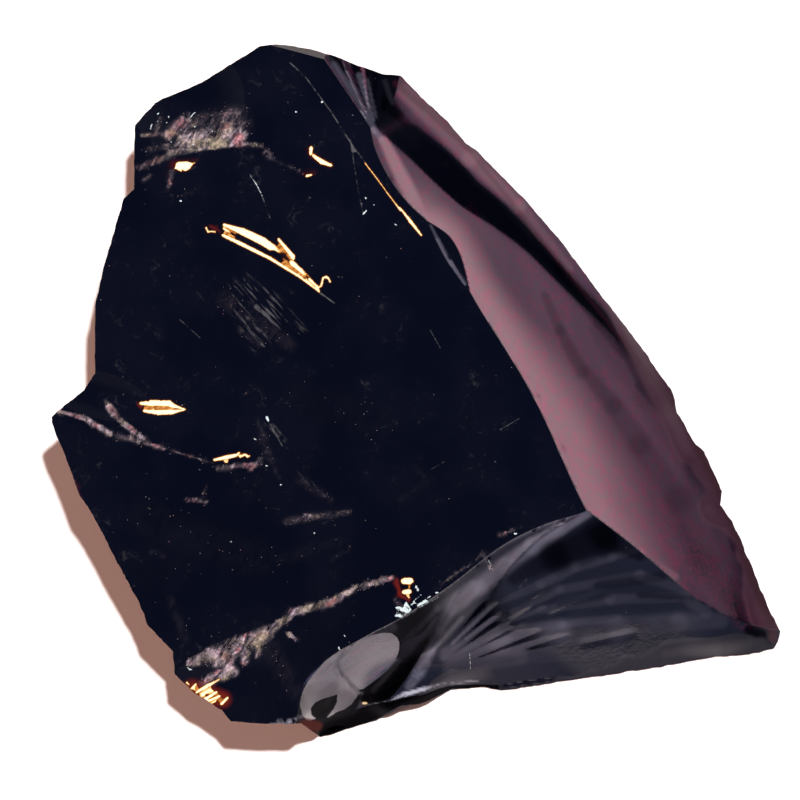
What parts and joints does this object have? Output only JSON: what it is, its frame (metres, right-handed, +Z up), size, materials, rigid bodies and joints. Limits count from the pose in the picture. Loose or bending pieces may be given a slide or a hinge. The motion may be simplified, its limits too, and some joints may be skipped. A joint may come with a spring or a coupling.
{
  "type": "obsidian chunk",
  "caption": "Broken lump of glossy black volcanic glass with a broad face, two steep bevels and sharp curved fracture edges.",
  "frame": {"origin": "middle of the lump's box in plan, on the surface it rests on", "axes": "+Z up, +X towards the thin pointed corner, +Y towards the fan of ribs"},
  "size_m": [0.087, 0.0826, 0.0231],
  "materials": {
    "obsidian": "glossy black volcanic glass, opaque but for its thinnest edges"
  },
  "bodies": {
    "root": {"obsidian_chunk": "obsidian"}
  },
  "joints": []
}
